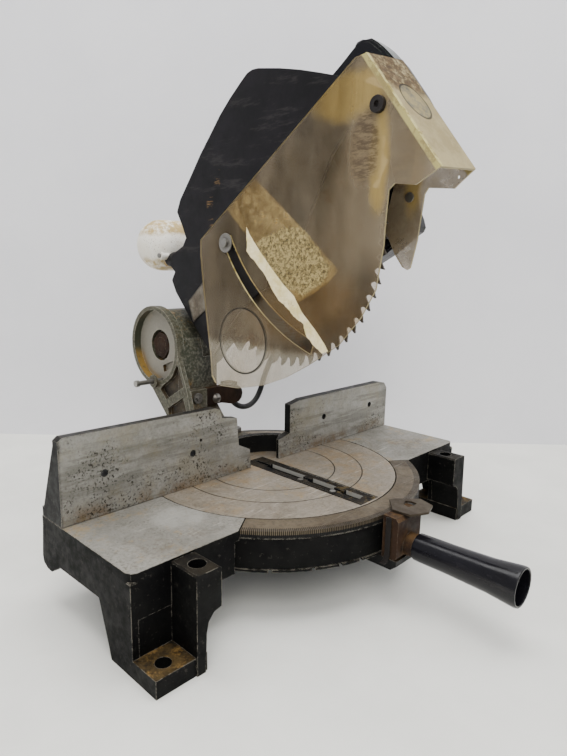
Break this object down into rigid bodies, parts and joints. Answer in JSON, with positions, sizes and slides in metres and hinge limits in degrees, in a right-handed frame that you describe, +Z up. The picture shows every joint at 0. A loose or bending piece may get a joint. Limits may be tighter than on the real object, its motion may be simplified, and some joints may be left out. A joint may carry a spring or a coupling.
{
  "type": "mitre saw",
  "caption": "Bench mitre saw: a pivoting circular-saw head with a folded clear guard over a swivelling table, a split fence and a tubular mitre handle",
  "frame": {"origin": "middle of the box round the saw without its lead, on the bench plane", "axes": "X along the fence, plus X to the operator's right; minus Y towards the operator; Z up"},
  "size_m": [0.472, 0.5868, 0.517],
  "materials": {
    "base_paint": "black paint, worn and chipped",
    "worn_aluminium": "machined, worn and stained",
    "ring_metal": "machined, tarnished brown",
    "fence_metal": "machined faces, pitted",
    "arm_paint": "grey-green paint, dusty",
    "kerf_black": "worn black",
    "rusty_iron": "rust-brown",
    "steel": "zinc plated, worn",
    "dark_steel": "blackened, rusted",
    "pointer_metal": "tarnished",
    "housing_plastic": "black moulded, scuffed",
    "handle_plastic": "black with a dark green top",
    "clear_guard": "clear, stained and scratched",
    "blade_steel": "toothed, resin stained",
    "spout_plastic": "off-white, ochre stained",
    "rubber_black": "black sheath",
    "plate_metal": "blank plate",
    "laminations": "varnished laminations",
    "trigger_plastic": "black"
  },
  "bodies": {
    "base": {"base_casting": "base_paint", "scale_ring": "ring_metal", "fence": "fence_metal", "fence_bolt_1": "steel", "fence_bolt_2": "steel", "fence_bolt_3": "steel", "fence_bolt_4": "steel", "turntable_pivot_bolt": "steel", "lead_drop": "rubber_black", "lead_coil": "rubber_black", "mains_plug": "rubber_black"},
    "turntable": {"turntable": "worn_aluminium", "kerf_plate": "kerf_black", "kerf_screw_1": "steel", "kerf_screw_2": "steel", "pivot_arm": "arm_paint", "arm_foot_bolt_1": "steel", "arm_foot_bolt_2": "steel", "arm_screw": "steel", "head_pivot_shaft": "rusty_iron", "pivot_nut": "steel", "torsion_spring": "steel", "cord_clamp": "rusty_iron", "clamp_screw": "steel", "cord_grommet": "rubber_black", "handle_bracket": "rusty_iron", "pointer_plate": "pointer_metal", "lead_loop": "rubber_black"},
    "mitre_lock": {"mitre_handle": "handle_plastic", "lock_rod": "steel"},
    "detent": {"detent_leaf": "dark_steel"},
    "lock_pin": {"head_lock_pin": "steel"},
    "head": {"blade_case": "housing_plastic", "case_plate": "plate_metal", "head_casting": "housing_plastic", "dust_elbow": "housing_plastic", "dust_spout": "spout_plastic", "spout_screw": "steel", "motor_housing": "housing_plastic", "motor_end_cap": "housing_plastic", "brush_cap_front": "trigger_plastic", "brush_cap_rear": "trigger_plastic", "motor_stator": "laminations", "lead_strain_relief": "rubber_black", "handle_left_shell": "handle_plastic", "handle_right_shell": "handle_plastic", "guard_pivot_screw": "dark_steel", "guard_stop_pin": "steel"},
    "guard": {"guard_shell": "clear_guard", "guard_rivet": "steel"},
    "blade": {"saw_blade": "blade_steel", "outer_flange": "steel", "inner_flange": "steel", "arbor_shaft": "steel", "arbor_bolt": "dark_steel", "driven_gear": "steel"},
    "armature": {"armature": "laminations", "motor_fan": "trigger_plastic"},
    "trigger": {"trigger": "trigger_plastic"},
    "lock_off": {"lock_off_button": "trigger_plastic"}
  },
  "joints": [
    {"name": "turntable_swing", "type": "hinge", "parent": "base", "child": "turntable", "pos_m": [0, 0.011, 0.078], "axis": [0, 0, 1], "range_deg": [-45, 45], "deforming": ["lead_loop", "lead_drop"]},
    {"name": "head_chop", "type": "hinge", "parent": "turntable", "child": "head", "pos_m": [0, 0.1908, 0.2009], "axis": [1, 0, 0], "range_deg": [0, 35.5], "stiffness_Nm_per_rad": 8, "springref_deg": -126.05, "deforming": ["lead_loop"]},
    {"name": "guard_swing", "type": "hinge", "parent": "head", "child": "guard", "pos_m": [0.012, -0.1234, 0.434], "axis": [1, 0, 0], "range_deg": [0, 41.42]},
    {"name": "blade_spin", "type": "hinge", "parent": "head", "child": "blade", "pos_m": [0, -0.0009, 0.3262], "axis": [1, 0, 0], "continuous": true},
    {"name": "armature_spin", "type": "hinge", "parent": "head", "child": "armature", "pos_m": [0.11, 0.042, 0.35], "axis": [1, 0, 0], "continuous": true},
    {"name": "mitre_lock_turn", "type": "hinge", "parent": "turntable", "child": "mitre_lock", "pos_m": [0, -0.208, 0.0575], "axis": [0, 1, 0], "range_deg": [-180, 180]},
    {"name": "detent_press", "type": "hinge", "parent": "turntable", "child": "detent", "pos_m": [-0.0216, -0.158, 0.086], "axis": [0, 1, 0], "range_deg": [0, 5], "stiffness_Nm_per_rad": 2, "springref_deg": -8.59},
    {"name": "lock_pin_slide", "type": "slide", "parent": "turntable", "child": "lock_pin", "axis": [1, 0, 0], "range_m": [0, 0.012]},
    {"name": "trigger_pull", "type": "slide", "parent": "head", "child": "trigger", "axis": [0, -1, 0], "range_m": [0, 0.005], "stiffness_N_per_m": 500, "springref_m": -0.008},
    {"name": "lock_off_press", "type": "slide", "parent": "head", "child": "lock_off", "axis": [0, 0, -1], "range_m": [0, 0.003], "stiffness_N_per_m": 500, "springref_m": -0.004}
  ],
  "couplings": [
    {"joint": "guard_swing", "follows": "head_chop", "ratio": 1.1666},
    {"joint": "armature_spin", "follows": "blade_spin", "ratio": -4.2222}
  ]
}
